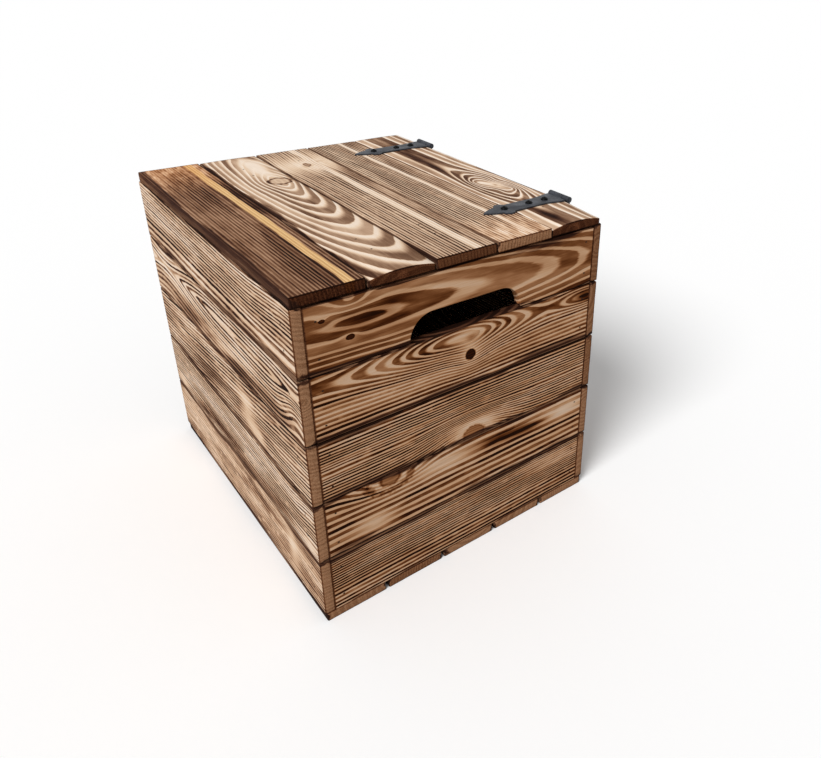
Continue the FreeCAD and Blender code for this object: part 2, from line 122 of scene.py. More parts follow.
def newMaterial(name):
    # empty material, its tree, and the place on the surface in millimetres
    material = bpy.data.materials.new(name)
    material.use_nodes = True
    tree = material.node_tree
    tree.nodes.clear()
    where = addNode(tree, "ShaderNodeTexCoord").outputs["Object"]
    place = addNode(tree, "ShaderNodeMapping", {"Vector": where, "Scale": (1 / mm, 1 / mm, 1 / mm)})
    return material, tree, place


# Flamed and brushed pine: the torch darkens the wood and the brush lifts the soft char, so the eye
# sees pale early wood between dark late-wood lines, scorched board edges and matte, ribbed fibres.
pineColours = {
    0.00: "#f5e6d6",
    0.20: "#e3c9ad",
    0.42: "#b99a80",
    0.62: "#866852",
    0.80: "#573c2d",
    0.92: "#38221a",
    1.00: "#21140f",
}
knotEffects = {"Pull": "Lift", "Heart": "Fill", "Rim": "Rim", "Bare": "Bare", "Tone": "Tone"}
knotShape = {
    "noHeart": (0.01, 0.01, 1), "raggedSize": 4.5455, "raggedDetail": 2.0, "ragged": 0.5,
    "heartEdge": (1.32, 1.12), "rimLine": 1.22, "rimWidth": 0.26,
}


def makeKnotGroup():
    # a knot pushes the rings aside and shows its heart; a torch mark bares or darkens the wood round it
    group = newGroup("pineKnot", "ShaderNodeTree", {
        "Place": "NodeSocketVector", "Spot": "NodeSocketVector", "Reach": (20, 40, 1),
        "Heart": knotShape["noHeart"], "Lift": 0.0, "Fill": 1.0, "Rim": 0.5, "Bare": 0.0, "Tone": 0.0,
    }, dict.fromkeys(knotEffects, "NodeSocketFloat"))
    entry = group.nodes.new("NodeGroupInput").outputs
    put = functools.partial(addNode, group)
    away = put("vector subtract", (entry["Place"], entry["Spot"]))
    flat = put("vector multiply", (away, (1, 1, 0)))
    spread = put("vector divide", (flat, entry["Reach"]))
    square = put("vector dot_product", (spread, spread)).outputs["Value"]
    minus = put("multiply", (square, -1.0))
    bell = put("exponent", (minus,))
    effects = {}
    for effect in ("Pull", "Bare", "Tone"):
        effects[effect] = put("multiply", (bell, entry[knotEffects[effect]]))
    ragged = put("noise", {
        "Vector": entry["Place"], "Scale": 1 / knotShape["raggedSize"], "Detail": knotShape["raggedDetail"],
    })
    shaped = put("vector divide", (flat, entry["Heart"]))
    length = put("vector length", (shaped,)).outputs["Value"]
    distance = put("multiply_add", (ragged, knotShape["ragged"], length))
    effects["Heart"] = put("smooth range", (distance, *knotShape["heartEdge"], 0.0, entry["Fill"]))
    offRim = put("subtract", (distance, knotShape["rimLine"]))
    offRim = put("absolute", (offRim,))
    effects["Rim"] = put("smooth range", (offRim, knotShape["rimWidth"], 0.0, 0.0, entry["Rim"]))
    put("NodeGroupOutput", effects)
    return group


# What a board's figure takes, and its value where a board says nothing of it: millimetres, and shares of 1.
figureInputs = {
    "Place": "NodeSocketVector", "Half size": (32, 195, 5),
    # the pith from the board's middle, its lean along the board, and the rings round it
    "Pith": (-120, 0, -30), "Lean": (0, 0, 0), "Ring": 2.5, "Start": 0.0, "Wide from": 900.0,
    "Wide rate": 1.0, "Vary": 1.5, "Sway": 4.0, "Ripple": 0.6, "Fray": 0.25,
    # the late-wood line of each ring, and what breaks it
    "Dark share": 0.5, "Soft": 0.25, "Line": 0.4, "Broken": 0.3, "Flecks": 0.5,
    # the torch over the face, along the two long edges and on the sawn ends
    "Torch": 0.25, "Blotch": 0.2, "Low burn": 4.0, "High burn": 4.0, "End tone": 0.46, "End warmth": 0.5,
    "Fade from": 900.0, "Fade to": 1000.0, "Fade": 0.0, "Fade warmth": 0.2, "Warmth": 0.2,
    # what knots and marks add, and one streak of sapwood
    "Pull": 0.0, "Heart": 0.0, "Heart tone": 0.55, "Rim": 0.0, "Bare": 0.0, "Tone": 0.0,
    "Sap place": 0.0, "Sap width": -9.0, "Sap gold": 1.0, "Seed": 1.0,
}
# Uneven patterns in the wood: size across and along the grain, millimetres, and how fine their detail goes.
grainPatterns = {
    "sway": {"size": (45, 260), "detail": 1.5},
    "ripple": {"size": (14, 60), "detail": 2.0},
    "fray": {"size": (1.5, 14), "detail": 2.0},
    "blotch": {"size": (20, 130), "detail": 3.0, "distortion": 0.4},
    # real fibres are finer, but would be lost at this distance
    "fibre": {"size": (0.8, 30), "detail": 2.0},
    "scorch": {"size": (9, 90), "detail": 3.0},
    "breaks": {"size": (4, 18), "detail": 3.0},
    "flecks": {"size": (6, 13), "detail": 2.0},
}
noiseMiddle = 0.5
ringShape = {
    "seedShift": (317, 1130, 211), "yearStep": 0.23, "yearDetail": 1.0, "lateEnd": 0.95, "edge": 0.9,
    "weight": (0.42, 1.1),
}
torchWork = {
    "blotchEdge": (0.36, 0.66), "blotchMiddle": 0.45, "lineInBlotch": (0.85, 1.1), "breakEdge": (0.34, 0.66),
    "fleckEdge": (0.56, 0.74), "bareTone": (0.04, 0.18), "mottle": 0.3, "fibre": 0.22, "smoke": (0.5, 1.2),
    "heartLine": 0.12, "scorchEdge": (0.38, 0.66), "scorchReach": (0.12, 1.7), "fullShare": 0.4,
    "char": (0.62, 0.97), "charFibre": 0.5,
}
sapStreak = {"wander": 5.0, "edge": 0.4, "tone": (0.06, 0.14), "fibre": 0.25, "line": 0.2, "tint": "#fceec5"}
sawnEnd = {"depth": (1.6, 0.4), "line": 0.08, "fibre": 0.5, "rimDepth": (1.4, 0.3), "rim": 0.3}
warmTone = {"tint": "#ffbf70", "byDarkness": (0.32, 1.5), "inChar": 0.35}
woodSkin = {"rough": (0.6, 0.85), "fibreRelief": 0.35, "bump": 0.6, "bumpDepth": 0.35, "shine": 0.04}


def makeFigureGroup():
    # growth rings cut by the board's faces, then torch, brush and scorched edges; all in millimetres
    group = newGroup("flamedPineFigure", "ShaderNodeTree", figureInputs, {
        "Colour": "NodeSocketColor", "Roughness": "NodeSocketFloat", "Height": "NodeSocketFloat",
    })
    entry = group.nodes.new("NodeGroupInput").outputs
    put = functools.partial(addNode, group)
    axes = put("split", (entry["Place"],)).outputs
    half = put("split", (entry["Half size"],)).outputs
    shift = put("vector scale", {0: ringShape["seedShift"], "Scale": entry["Seed"]})
    strewn = put("vector add", (entry["Place"], shift))
    fields = {}
    for pattern, look in grainPatterns.items():
        across, along = look["size"]
        spread = put("vector multiply", (strewn, (1 / across, 1 / along, 1 / across)))
        fields[pattern] = put("noise", {
            "Vector": spread, "Scale": 1.0, "Detail": look["detail"],
            "Distortion": look.get("distortion", 0.0),
        })
    sway, ripple, fibre = (
        put("subtract", (fields[pattern], noiseMiddle)) for pattern in ("sway", "ripple", "fibre")
    )

    # distance from the pith, with a slow sway and a short ripple, then counted in rings of uneven width
    drift = put("vector scale", {0: entry["Lean"], "Scale": axes["Y"]})
    pithHere = put("vector add", (entry["Pith"], drift))
    fromPith = put("vector subtract", (entry["Place"], pithHere))
    fromPith = put("vector multiply", (fromPith, (1, 0, 1)))
    radius = put("vector length", (fromPith,)).outputs["Value"]
    radius = put("multiply_add", (sway, entry["Sway"], radius))
    radius = put("multiply_add", (ripple, entry["Ripple"], radius))
    radius = put("add", (radius, entry["Pull"]))
    beyond = put("subtract", (radius, entry["Wide from"]))
    beyond = put("maximum", (beyond, 0.0))
    rate = put("subtract", (entry["Wide rate"], 1.0))
    counted = put("multiply_add", (beyond, rate, radius))
    rings = put("divide", (counted, entry["Ring"]))
    rings = put("add", (rings, entry["Start"]))
    years = put("multiply_add", (rings, ringShape["yearStep"], entry["Seed"]))
    years = put("noise", {
        "W": years, "Scale": 1.0, "Detail": ringShape["yearDetail"],
    }, noise_dimensions="1D")
    rings = put("multiply_add", (years, entry["Vary"], rings))
    rings = put("multiply_add", (fields["fray"], entry["Fray"], rings))

    # one ring: pale early wood, a soft rise to the late wood, then a sharp edge to the next ring
    phase = put("fract", (rings,))
    year = put("floor", (rings,))
    year = put("add", (year, entry["Seed"]))
    chance = put("ShaderNodeTexWhiteNoise", {"W": year}, noise_dimensions="1D").outputs["Value"]
    start = put("subtract", (ringShape["lateEnd"], entry["Dark share"]))
    full = put("add", (start, entry["Soft"]))
    rise = put("smooth range", (phase, start, full))
    fall = put("smooth range", (phase, 1.0, ringShape["edge"]))
    late = put("multiply", (rise, fall))
    weight = put("range", (chance, 0.0, 1.0, *ringShape["weight"]))
    late = put("multiply", (late, weight))

    # darkness from 0, bare early wood, to 1, char: late-wood lines on the torch's tone, broken by the brush
    blotch = put("smooth range", (fields["blotch"], *torchWork["blotchEdge"]))
    line = put("range", (blotch, 0.0, 1.0, *torchWork["lineInBlotch"]))
    line = put("multiply", (line, entry["Line"]))
    breaks = put("range", (fields["breaks"], *torchWork["breakEdge"], 1.0, -1.0))
    broken = put("multiply_add", (breaks, entry["Broken"], 1.0))
    line = put("multiply", (line, broken))
    dark = put("multiply_add", (late, line, entry["Torch"]))
    patch = put("subtract", (blotch, torchWork["blotchMiddle"]))
    dark = put("multiply_add", (patch, entry["Blotch"], dark))
    fade = put("smooth range", (axes["Y"], entry["Fade from"], entry["Fade to"], 0.0, entry["Fade"]))
    flecks = put("smooth range", (fields["flecks"], *torchWork["fleckEdge"], 0.0, entry["Flecks"]))
    bared = put("maximum", (fade, entry["Bare"]))
    bared = put("maximum", (bared, flecks), use_clamp=True)
    bareTone = put("range", (blotch, 0.0, 1.0, *torchWork["bareTone"]))
    dark = put("mix", {"Factor": bared, "A": dark, "B": bareTone})
    mottle = put("multiply", (breaks, fade))
    dark = put("multiply_add", (mottle, torchWork["mottle"], dark))
    dark = put("multiply_add", (fibre, torchWork["fibre"], dark))
    # scorch marks darken the wood along the torch's blotches; a few of these marks are painted shade
    smoke = put("range", (blotch, 0.0, 1.0, *torchWork["smoke"]))
    smoke = put("multiply", (smoke, entry["Tone"]))
    dark = put("add", (dark, smoke))
    heart = put("multiply_add", (late, torchWork["heartLine"], entry["Heart tone"]))
    dark = put("mix", {"Factor": entry["Heart"], "A": dark, "B": heart})
    dark = put("add", (dark, entry["Rim"]))

    # sap streak: one pale band, golden or not, that follows the grain
    offSap = put("multiply_add", (ripple, sapStreak["wander"], axes["X"]))
    offSap = put("subtract", (offSap, entry["Sap place"]))
    offSap = put("absolute", (offSap,))
    sapHalf = put("multiply", (entry["Sap width"], 0.5))
    inSap = put("subtract", (sapHalf, offSap))
    sap = put("smooth range", (inSap, -sapStreak["edge"], sapStreak["edge"]))
    sapTone = put("range", (entry["Sap gold"], 0.0, 1.0, *sapStreak["tone"]))
    sapTone = put("multiply_add", (fibre, sapStreak["fibre"], sapTone))
    sapTone = put("multiply_add", (late, sapStreak["line"], sapTone))
    dark = put("mix", {"Factor": sap, "A": dark, "B": sapTone})

    # the sawn ends drink more of the flame, most at the rim of the face
    fromSide = {}
    for axis in "YZ":
        aside = put("absolute", (axes[axis],))
        fromSide[axis] = put("subtract", (half[axis], aside))
    ends = put("smooth range", (fromSide["Y"], *sawnEnd["depth"]))
    endDark = put("multiply_add", (late, sawnEnd["line"], entry["End tone"]))
    endDark = put("multiply_add", (fibre, sawnEnd["fibre"], endDark))
    endRim = put("smooth range", (fromSide["Z"], *sawnEnd["rimDepth"], 0.0, sawnEnd["rim"]))
    endDark = put("add", (endDark, endRim))
    dark = put("mix", {"Factor": ends, "A": dark, "B": endDark})

    # char along the two long edges, over everything; on the end wall's top board the upper edge's char also
    # stands for painted shade under the lid
    scorch = put("range", (fields["scorch"], *torchWork["scorchEdge"], *torchWork["scorchReach"]))
    edges = []
    for burn, way in (("Low burn", "add"), ("High burn", "subtract")):
        offEdge = put(way, (half["X"], axes["X"]))
        reach = put("multiply", (scorch, entry[burn]))
        full = put("multiply", (reach, torchWork["fullShare"]))
        edges.append(put("smooth range", (offEdge, reach, full)))
    edge = put("maximum", edges)
    room = put("subtract", (1.0, dark))
    room = put("multiply", (edge, room))
    char = put("range", (late, 0.0, 1.0, *torchWork["char"]))
    char = put("multiply_add", (fibre, torchWork["charFibre"], char))
    dark = put("multiply_add", (room, char, dark))

    # colour by darkness, golden in the sap, warmer in the darks and on the ends, cooler in the char
    ramp = put("ShaderNodeValToRGB", (dark,))
    stops = sorted(pineColours.items())
    while len(ramp.color_ramp.elements) < len(stops):
        ramp.color_ramp.elements.new(0.5)
    for element, (at, tone) in zip(ramp.color_ramp.elements, stops):
        element.position = at
        element.color = linear(tone)
    gold = put("multiply", (sap, entry["Sap gold"]))
    golden = put("tint", {0: gold, 6: ramp, 7: linear(sapStreak["tint"])})
    warm = put("multiply_add", (fade, entry["Fade warmth"], entry["Warmth"]))
    warm = put("mix", {"Factor": ends, "A": warm, "B": entry["End warmth"]})
    deepen = put("range", (dark, 0.0, 1.0, *warmTone["byDarkness"]))
    warm = put("multiply", (warm, deepen))
    cooled = put("range", (edge, 0.0, 1.0, 1.0, warmTone["inChar"]))
    warm = put("multiply", (warm, cooled))
    toned = put("tint", {0: warm, 6: golden.outputs[2], 7: linear(warmTone["tint"])})
    rough = put("range", (dark, 0.0, 1.0, *woodSkin["rough"]))
    relief = put("multiply_add", (fibre, woodSkin["fibreRelief"], late))
    put("NodeGroupOutput", {"Colour": toned.outputs[2], "Roughness": rough, "Height": relief})
    return group


knotGroup = makeKnotGroup()
figureGroup = makeFigureGroup()


def makePine(name, board):
    # the board's own frame in millimetres: across, along, outward; knots first, then the figure
    material, tree, place = newMaterial(name)
    put = functools.partial(addNode, tree)
    turn = Matrix((board["across"], board["along"], board["outward"]))
    place.inputs["Rotation"].default_value = turn.to_euler()
    place.inputs["Location"].default_value = turn @ board["centre"] / -mm
    inputs = {"Place": place, "Half size": board["half"] / mm} | board["figure"]
    for knot in board["knots"]:
        given = {label: (*value, 1) if isinstance(value, tuple) else value for label, value in knot.items()}
        spot = put("group", {"Place": place} | given, node_tree=knotGroup)
        for label in knotEffects:
            here = spot.outputs[label]
            if label in inputs:
                here = put("add", (inputs[label], here)).outputs[0]
            inputs[label] = here
    figure = put("group", inputs, node_tree=figureGroup).outputs
    ribs = put("ShaderNodeBump", {
        "Height": figure["Height"], "Strength": woodSkin["bump"], "Distance": woodSkin["bumpDepth"] * mm,
    })
    shader = put("ShaderNodeBsdfPrincipled", {
        "Base Color": figure["Colour"], "Roughness": figure["Roughness"], "Normal": ribs,
        "Specular IOR Level": woodSkin["shine"],
    })
    put("ShaderNodeOutputMaterial", {"Surface": shader})
    return material


# How each board lies: the way its grain runs and the way its outer face looks.
directions = {
    "lid_board": {"along": (0, 1, 0), "outward": (0, 0, 1)},
    "floor_slat": {"along": (0, 1, 0), "outward": (0, 0, -1)},
    "front_board": {"along": (0, 1, 0), "outward": (-1, 0, 0)},
    "back_board": {"along": (0, 1, 0), "outward": (1, 0, 0)},
    "right_end_board": {"along": (-1, 0, 0), "outward": (0, -1, 0)},
    "left_end_board": {"along": (1, 0, 0), "outward": (0, 1, 0)},
    "lid_batten": {"along": (1, 0, 0), "outward": (0, 0, -1)},
    "front_right_post": {"along": (0, 0, 1), "outward": (0, 1, 0)},
    "front_left_post": {"along": (0, 0, 1), "outward": (0, -1, 0)},
    "back_right_post": {"along": (0, 0, 1), "outward": (0, 1, 0)},
    "back_left_post": {"along": (0, 0, 1), "outward": (0, -1, 0)},
}
# How each board in view was cut: its figure, its knots, then rows for where the rings bend, where the wood is
# bare and where it is scorched, a few of these rows carrying painted shade. A row has the spot from the
# board's middle and the reach, each across and along the board in millimetres, and how much.
markEffects = {"bends": "Lift", "bare": "Bare", "scorch": "Tone"}
boardFigures = {
    "lid_board_1": {
        "Pith": (-150, 0, -25), "Ring": 3.1, "Sway": 2.0, "Ripple": 0.7, "Vary": 0.6, "Dark share": 0.72,
        "Soft": 0.3, "Line": 0.34, "Torch": 0.54, "Blotch": 0.16, "Broken": 0.15, "Flecks": 0.1,
        "Low burn": 8, "High burn": 2, "Fade from": 60, "Fade to": 200, "Fade": 0.6, "Fade warmth": 0.8,
        "Warmth": 0.25, "End tone": 0.84, "Sap place": 19, "Sap width": 8.5,
        # the last of these rows, a thin dark line along the sap streak's lower edge, is a painted shadow line
        "scorch": [(27, 60, 5, 30, 0.25), (27, 5, 5, 24, 0.25), (14, -60, 1.4, 220, 0.25)],
    },
    "lid_board_2": {
        "Pith": (14, 0, -11), "Lean": (0, 0, 0.19), "Ring": 6.5, "Sway": 3.0, "Ripple": 2.2, "Fray": 0.06,
        "Vary": 0.4, "Dark share": 0.85, "Soft": 0.45, "Line": 0.71, "Torch": 0.06, "Blotch": 0.06,
        "Broken": 0.06, "Flecks": 0, "Low burn": 5, "High burn": 1.5, "Warmth": 0.1, "Heart tone": 0.25,
        "End tone": 0.78,
        "knots": [{"Spot": (15.5, 83), "Reach": (22, 27), "Heart": (12, 12), "Lift": -11, "Rim": 0.55}],
        "bare": [(12, 128, 17, 32, 1.0), (14, 168, 15, 26, 0.8)],
        "scorch": [(24, 127, 4, 14, 0.4), (26, 190, 12, 14, 0.5)],
    },
    "lid_board_3": {
        "Pith": (-150, 0, -20), "Ring": 3.5, "Sway": 2.5, "Ripple": 0.7, "Vary": 1.0, "Dark share": 0.57,
        "Soft": 0.3, "Line": 0.72, "Torch": 0.31, "Blotch": 0.14, "Flecks": 0.3, "Low burn": 1.5,
        "High burn": 1.2, "Sap place": 12, "Sap width": 8, "Sap gold": 0, "Warmth": 0.1, "Heart tone": 0.46,
        "End tone": 0.74,
        "knots": [
            {"Spot": (1, 126), "Reach": (60, 36), "Heart": (4, 7), "Lift": 5, "Bare": 1.0, "Rim": 0.2},
            {"Spot": (26, -40), "Reach": (8, 200), "Bare": 0.5, "Tone": 0.22},
        ],
        "scorch": [(4, 123, 7, 6, 0.3), (-3, 119, 5, 5, 0.25), (17, 133, 6, 3, 0.25)],
    },
    "lid_board_4": {
        "Pith": (-170, 0, 20), "Ring": 3.4, "Sway": 2.5, "Ripple": 0.7, "Vary": 1.0, "Dark share": 0.57,
        "Soft": 0.3, "Line": 0.79, "Torch": 0.31, "Blotch": 0.16, "Flecks": 0.3, "Low burn": 1.2,
        "High burn": 1.5, "End tone": 0.5, "Fade from": -110, "Fade to": -185, "Fade": 0.62,
        "Fade warmth": 0.5, "Warmth": 0.1, "Sap place": 10, "Sap width": 5.5, "Sap gold": 0,
        "knots": [{"Spot": (24, 0), "Reach": (9, 300), "Bare": 0.5, "Tone": 0.26}],
    },
    "lid_board_5": {
        "Pith": (-5, 0, -6), "Ring": 9.5, "Ripple": 3.0, "Fray": 0.05, "Dark share": 0.85, "Vary": 0.4,
        "Soft": 0.35, "Line": 0.81, "Torch": 0, "Blotch": 0.12, "Low burn": 1.5, "High burn": 1.5,
        "Warmth": 0.1, "End tone": 0.8, "Broken": 0.08, "Flecks": 0,
        "knots": [{"Spot": (-10, 70), "Reach": (11, 60), "Tone": 0.5, "Bare": 0.6}],
        "bends": [
            (4, -57, 20, 46, -44), (15, -46, 8, 13, 13), (-5, -72, 7, 15, 12), (13, -78, 6, 10, -11),
            (-7, -40, 6, 12, -10),
        ],
        "bare": [(5, -57, 8, 11, 0.9)],
        "scorch": [(5, -58, 2, 4, 0.5), (-19, -68, 4, 40, 0.3), (-4, -172, 12, 20, 0.3)],
    },
    "right_end_board_1": {
        "Pith": (6, 0, -8), "Lean": (0.02, 0, 0.12), "Ring": 11.5, "Start": -0.2, "Wide from": 24,
        "Wide rate": 2.2, "Sway": 7.0, "Ripple": 3.51, "Fray": 0.12, "Vary": 0.3, "Dark share": 0.76,
        "Soft": 0.2, "Line": 0.54, "Torch": 0.21, "Blotch": 0.16, "Broken": 0.1, "Flecks": 0, "Low burn": 7,
        # its high burn along the top edge is char, and painted shade under the lid as well
        "High burn": 6, "Warmth": 0.76, "Heart tone": 0.85,
        "knots": [
            {"Spot": (15.5, 140), "Reach": (5, 7), "Heart": (1.6, 2.6), "Lift": 5},
            {"Spot": (-5.5, 117), "Reach": (5, 8), "Heart": (2.4, 4.0), "Lift": 6, "Bare": 0.6},
        ],
        "bends": [(7, 105, 16, 40, -5), (25, 115, 8, 20, 12)],
        "scorch": [(7, 100, 9, 30, 0.25)],
    },
    "right_end_board_2": {
        "Pith": (20, 0, -7), "Ring": 4.4, "Sway": 2.0, "Ripple": 1.89, "Fray": 0.12, "Vary": 0.5,
        "Dark share": 0.7, "Soft": 0.3, "Line": 0.78, "Torch": 0.17, "Blotch": 0.14, "Broken": 0.15,
        "Flecks": 0.3, "Low burn": 6, "Warmth": 0.78, "Heart tone": 0.92,
        "knots": [{"Spot": (0, -2.5), "Reach": (9, 10), "Heart": (5.4, 5.4), "Bare": 1.0}],
        "bends": [(22, 14, 22, 74, -30), (-3, -2.5, 15, 22, -8), (20, -150, 10, 36, -14)],
        "bare": [(19, -1, 12, 19, 1.0)],
        # the first row here darkens the top edge under the hand hole, the hole's floor: char, and painted
        # shade inside the hole
        "scorch": [(32, 0, 2, 60, 0.7), (18, -3, 4, 6, 0.3), (20, -150, 7, 14, 0.6)],
    },
    "right_end_board_3": {
        "Pith": (150, 0, 20), "Ring": 3.2, "Sway": 3.0, "Ripple": 1.62, "Dark share": 0.65, "Line": 1.0,
        "Torch": 0.19, "Blotch": 0.14, "Flecks": 0.4, "Low burn": 8, "Warmth": 0.8, "Heart tone": 0.46,
        "knots": [{"Spot": (-28, -6), "Reach": (10, 20), "Heart": (10, 13), "Bare": 1.0, "Rim": 0.12}],
        "bends": [(-26, -4, 24, 50, 16)],
        "bare": [(-24, -8, 17, 36, 1.0)],
    },
    "right_end_board_4": {
        "Pith": (140, 0, -10), "Ring": 7.4, "Sway": 3.0, "Ripple": 2.97, "Fray": 0.16, "Vary": 0.6,
        "Dark share": 0.61, "Soft": 0.15, "Line": 0.84, "Torch": 0.16, "Blotch": 0.1, "Broken": 0.2,
        "Low burn": 6, "Warmth": 0.76, "Heart tone": 0.45, "Flecks": 0.2,
        "knots": [
            {"Spot": (28, 89), "Reach": (11, 22), "Heart": (8, 11), "Bare": 1.0, "Rim": 0.3},
            {"Spot": (30, 89), "Reach": (1, 1), "Heart": (17, 25), "Fill": 0.0, "Rim": 0.4},
        ],
        "bends": [(30, 88, 17, 40, -22)],
        "bare": [(17, 30, 9, 42, 1.0), (12, -128, 10, 32, 1.0), (-16, 107, 14, 22, 1.0)],
        "scorch": [(17, -34, 6, 32, 0.5), (12, -74, 5, 26, 0.45)],
    },
    "right_end_board_5": {
        "Pith": (150, 0, 10), "Ring": 3.0, "Wide from": 160, "Wide rate": 0.55, "Sway": 3.0, "Ripple": 1.62,
        "Dark share": 0.69, "Line": 1.0, "Torch": 0.22, "Blotch": 0.16, "Flecks": 0.4, "Low burn": 3,
        "High burn": 8, "Warmth": 0.75,
        "bare": [(14, -112, 14, 40, 0.6)],
    },
    "front_board_1": {
        "Pith": (130, 0, -30), "Lean": (0.02, 0, 0), "Ring": 3.6, "Wide from": 148, "Wide rate": 0.4,
        "Sway": 5.0, "Ripple": 2.16, "Dark share": 0.59, "Line": 0.94, "Torch": 0.165, "Blotch": 0.26,
        "Low burn": 5, "High burn": 2, "Warmth": 0.26,
        "bends": [(20, -190, 30, 60, 9)],
        "bare": [(-22, -150, 7, 50, 0.7)],
    },
    "front_board_2": {
        "Pith": (11.5, 0, 2), "Ring": 4.4, "Sway": 2.5, "Ripple": 2.16, "Dark share": 0.61, "Vary": 0.5,
        "Line": 0.89, "Torch": 0.07, "Blotch": 0.24, "Low burn": 5, "Warmth": 0.26,
        "knots": [{"Spot": (-20, 60), "Reach": (13, 120), "Bare": 0.5, "Tone": 0.36}],
        "bends": [(11.5, 150, 40, 85, 17), (-7, -182, 20, 26, 14)],
        "scorch": [(11, -85, 5, 72, 0.4), (-24, -100, 9, 90, 0.3)],
    },
    "front_board_3": {
        "Pith": (130, 0, -30), "Lean": (-0.1, 0, 0), "Ring": 4.2, "Sway": 5.0, "Ripple": 2.7,
        "Dark share": 0.58, "Line": 1.0, "Torch": 0.22, "Blotch": 0.3, "Warmth": 0.26,
        "bare": [(-4, -58, 26, 20, 1.0), (-20, -82, 10, 18, 1.0), (2, 140, 5, 40, 0.8)],
        "scorch": [(20, -64, 1.6, 12, 0.5), (20, -150, 1.6, 50, 0.5), (-10, 50, 15, 100, 0.2)],
    },
    "front_board_4": {
        "Pith": (130, 0, 10), "Ring": 3.8, "Sway": 5.0, "Ripple": 2.16, "Dark share": 0.54, "Line": 1.1,
        "Torch": 0.16, "Blotch": 0.24, "Flecks": 0.7, "Low burn": 5, "Warmth": 0.26,
        "bends": [(20, -195, 30, 34, 9)],
        "bare": [(-22, 170, 8, 18, 1.0), (-24, -178, 8, 14, 0.9)],
        "scorch": [(-20, 85, 7, 60, 0.7), (-21, -10, 7, 60, 0.65), (-20, -100, 7, 50, 0.6)],
    },
    "front_board_5": {
        "Pith": (-140, 0, 10), "Ring": 4.4, "Sway": 6.0, "Ripple": 3.24, "Dark share": 0.62, "Line": 0.48,
        "Torch": 0.24, "Blotch": 0.3, "Broken": 0.5, "Flecks": 0.7, "Low burn": 2, "High burn": 5,
        "Warmth": 0.26,
        "bare": [(4, -132, 30, 12, 0.9)],
        "scorch": [(20, 0, 12, 150, 0.16)],
    },
}

# Boards out of view, millimetres: a pith far off gives lines, one near the board gives arches.
sawnCuts = (
    {"aside": (90, 170), "deep": (-25, 10), "ring": (3.0, 3.8), "lean": 0.02, "share": 0.6},
    {"aside": (4, 18), "deep": (-26, -14), "ring": (4.4, 6.0), "lean": 0.1, "share": 0.66},
    {"aside": (20, 60), "deep": (-20, -8), "ring": (6.5, 9.0), "lean": 0.06, "share": 0.74},
)
flamedRanges = {
    "Sway": (3, 6), "Ripple": (1.4, 2.6), "Torch": (0.12, 0.2), "Line": (0.66, 0.84), "Warmth": (0.15, 0.4),
    "Low burn": (2, 5), "High burn": (2, 5), "End tone": (0.46, 0.6), "Heart tone": (0.5, 0.8),
}
flamedMarks = {
    "lean": 0.03, "vary": 0.8,
    # where knots and marks may lie, as shares of the half width and the half length
    "spread": (0.7, 0.9),
    # how many knots, half the width of a heart, then in hearts its length, its reach and its lift
    "knots": (0, 1, 1, 2), "heart": (3, 7), "long": 1.3, "reach": (3, 5), "lift": 1.6, "rim": 0.4,
    # how many, how wide, how long and how much
    "bare": ((1, 2, 2), (8, 18), (25, 60), 0.9), "scorch": ((1, 2), (6, 10), (40, 80), 0.4),
}
plainCut = {"aside": (30, 90), "deep": (-30, 10), "ring": (2.6, 3.6)}
plainFigure = {
    "Sway": 2.0, "Ripple": 0.8, "Torch": 0.14, "Line": 0.3, "Blotch": 0.06, "Flecks": 0.2, "Warmth": 0.25,
    "Low burn": 0.2, "High burn": 0.2, "End tone": 0.3, "End warmth": 0.3,
}


def drawPith(draw, cut):
    return (draw.choice((-1, 1)) * draw.uniform(*cut["aside"]), 0, draw.uniform(*cut["deep"]))


def drawFlamedPine(number, half):
    # one cut, knots that the rings bend round, bare patches and torch marks, all from the board's number
    draw = random.Random(number)
    cut = sawnCuts[number % len(sawnCuts)]
    lean = flamedMarks["lean"]
    given = {
        "Pith": drawPith(draw, cut),
        "Lean": (draw.uniform(-lean, lean), 0, draw.choice((-1, 1)) * cut["lean"]),
        "Ring": draw.uniform(*cut["ring"]), "Dark share": cut["share"], "Vary": flamedMarks["vary"],
    }
    for label, ends in flamedRanges.items():
        given[label] = draw.uniform(*ends)

    def somewhere():
        wide, long = flamedMarks["spread"]
        return (draw.uniform(-wide, wide) * half.x, draw.uniform(-long, long) * half.y)

    given["knots"] = []
    for knot in range(draw.choice(flamedMarks["knots"])):
        heart = draw.uniform(*flamedMarks["heart"])
        wide, long = flamedMarks["reach"]
        given["knots"].append({
            "Spot": somewhere(), "Reach": (heart * wide, heart * long),
            "Heart": (heart, heart * flamedMarks["long"]),
            "Lift": draw.choice((-1, 1)) * heart * flamedMarks["lift"], "Rim": flamedMarks["rim"],
        })
    for mark in ("bare", "scorch"):
        counts, wide, long, amount = flamedMarks[mark]
        given[mark] = [
            (*somewhere(), draw.uniform(*wide), draw.uniform(*long), amount)
            for spot in range(draw.choice(counts))
        ]
    return given


def drawPlainPine(number):
    # posts and battens were sawn and never flamed: pale, with soft lines and clean edges
    draw = random.Random(number)
    return {"Pith": drawPith(draw, plainCut), "Ring": draw.uniform(*plainCut["ring"])} | plainFigure


